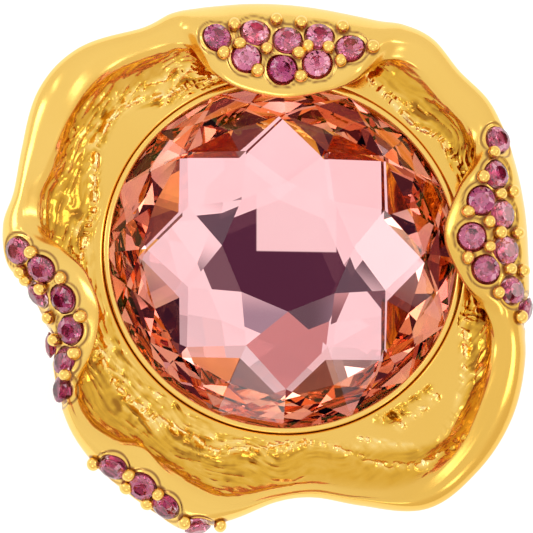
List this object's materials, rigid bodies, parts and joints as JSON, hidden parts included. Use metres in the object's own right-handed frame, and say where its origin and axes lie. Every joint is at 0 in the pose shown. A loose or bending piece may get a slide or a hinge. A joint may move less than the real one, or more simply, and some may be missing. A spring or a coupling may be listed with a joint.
{
  "type": "cocktail ring",
  "caption": "Ruffled flower-shaped cup on a finger band, holding a large round faceted stone in a collet, with curled petals set with small round stones.",
  "frame": {"origin": "centre of the finger hole, midway along the band's width", "axes": "+Z from the finger hole to the big stone, Y along the finger with +Y at the top of the flower, X across the finger"},
  "size_m": [0.0304, 0.0309, 0.0312],
  "materials": {
    "gold": "polished yellow gold",
    "pink_stone": "faceted, polished",
    "rose_stone": "faceted, polished"
  },
  "bodies": {
    "root": {"shank": "gold", "gallery": "gold", "petal_cup": "gold", "stone_collet": "gold", "centre_stone": "pink_stone", "top_stone_1": "rose_stone", "top_stone_2": "rose_stone", "top_stone_3": "rose_stone", "top_stone_4": "rose_stone", "top_stone_5": "rose_stone", "top_stone_6": "rose_stone", "top_stone_7": "rose_stone", "top_stone_8": "rose_stone", "right_stone_1": "rose_stone", "right_stone_2": "rose_stone", "right_stone_3": "rose_stone", "right_stone_4": "rose_stone", "right_stone_5": "rose_stone", "right_stone_6": "rose_stone", "right_stone_7": "rose_stone", "right_stone_8": "rose_stone", "right_stone_9": "rose_stone", "left_stone_1": "rose_stone", "left_stone_2": "rose_stone", "left_stone_3": "rose_stone", "left_stone_4": "rose_stone", "left_stone_5": "rose_stone", "left_stone_6": "rose_stone", "left_stone_7": "rose_stone", "left_stone_8": "rose_stone", "lower_left_stone_1": "rose_stone", "lower_left_stone_2": "rose_stone", "lower_left_stone_3": "rose_stone", "lower_left_stone_4": "rose_stone"}
  },
  "joints": []
}
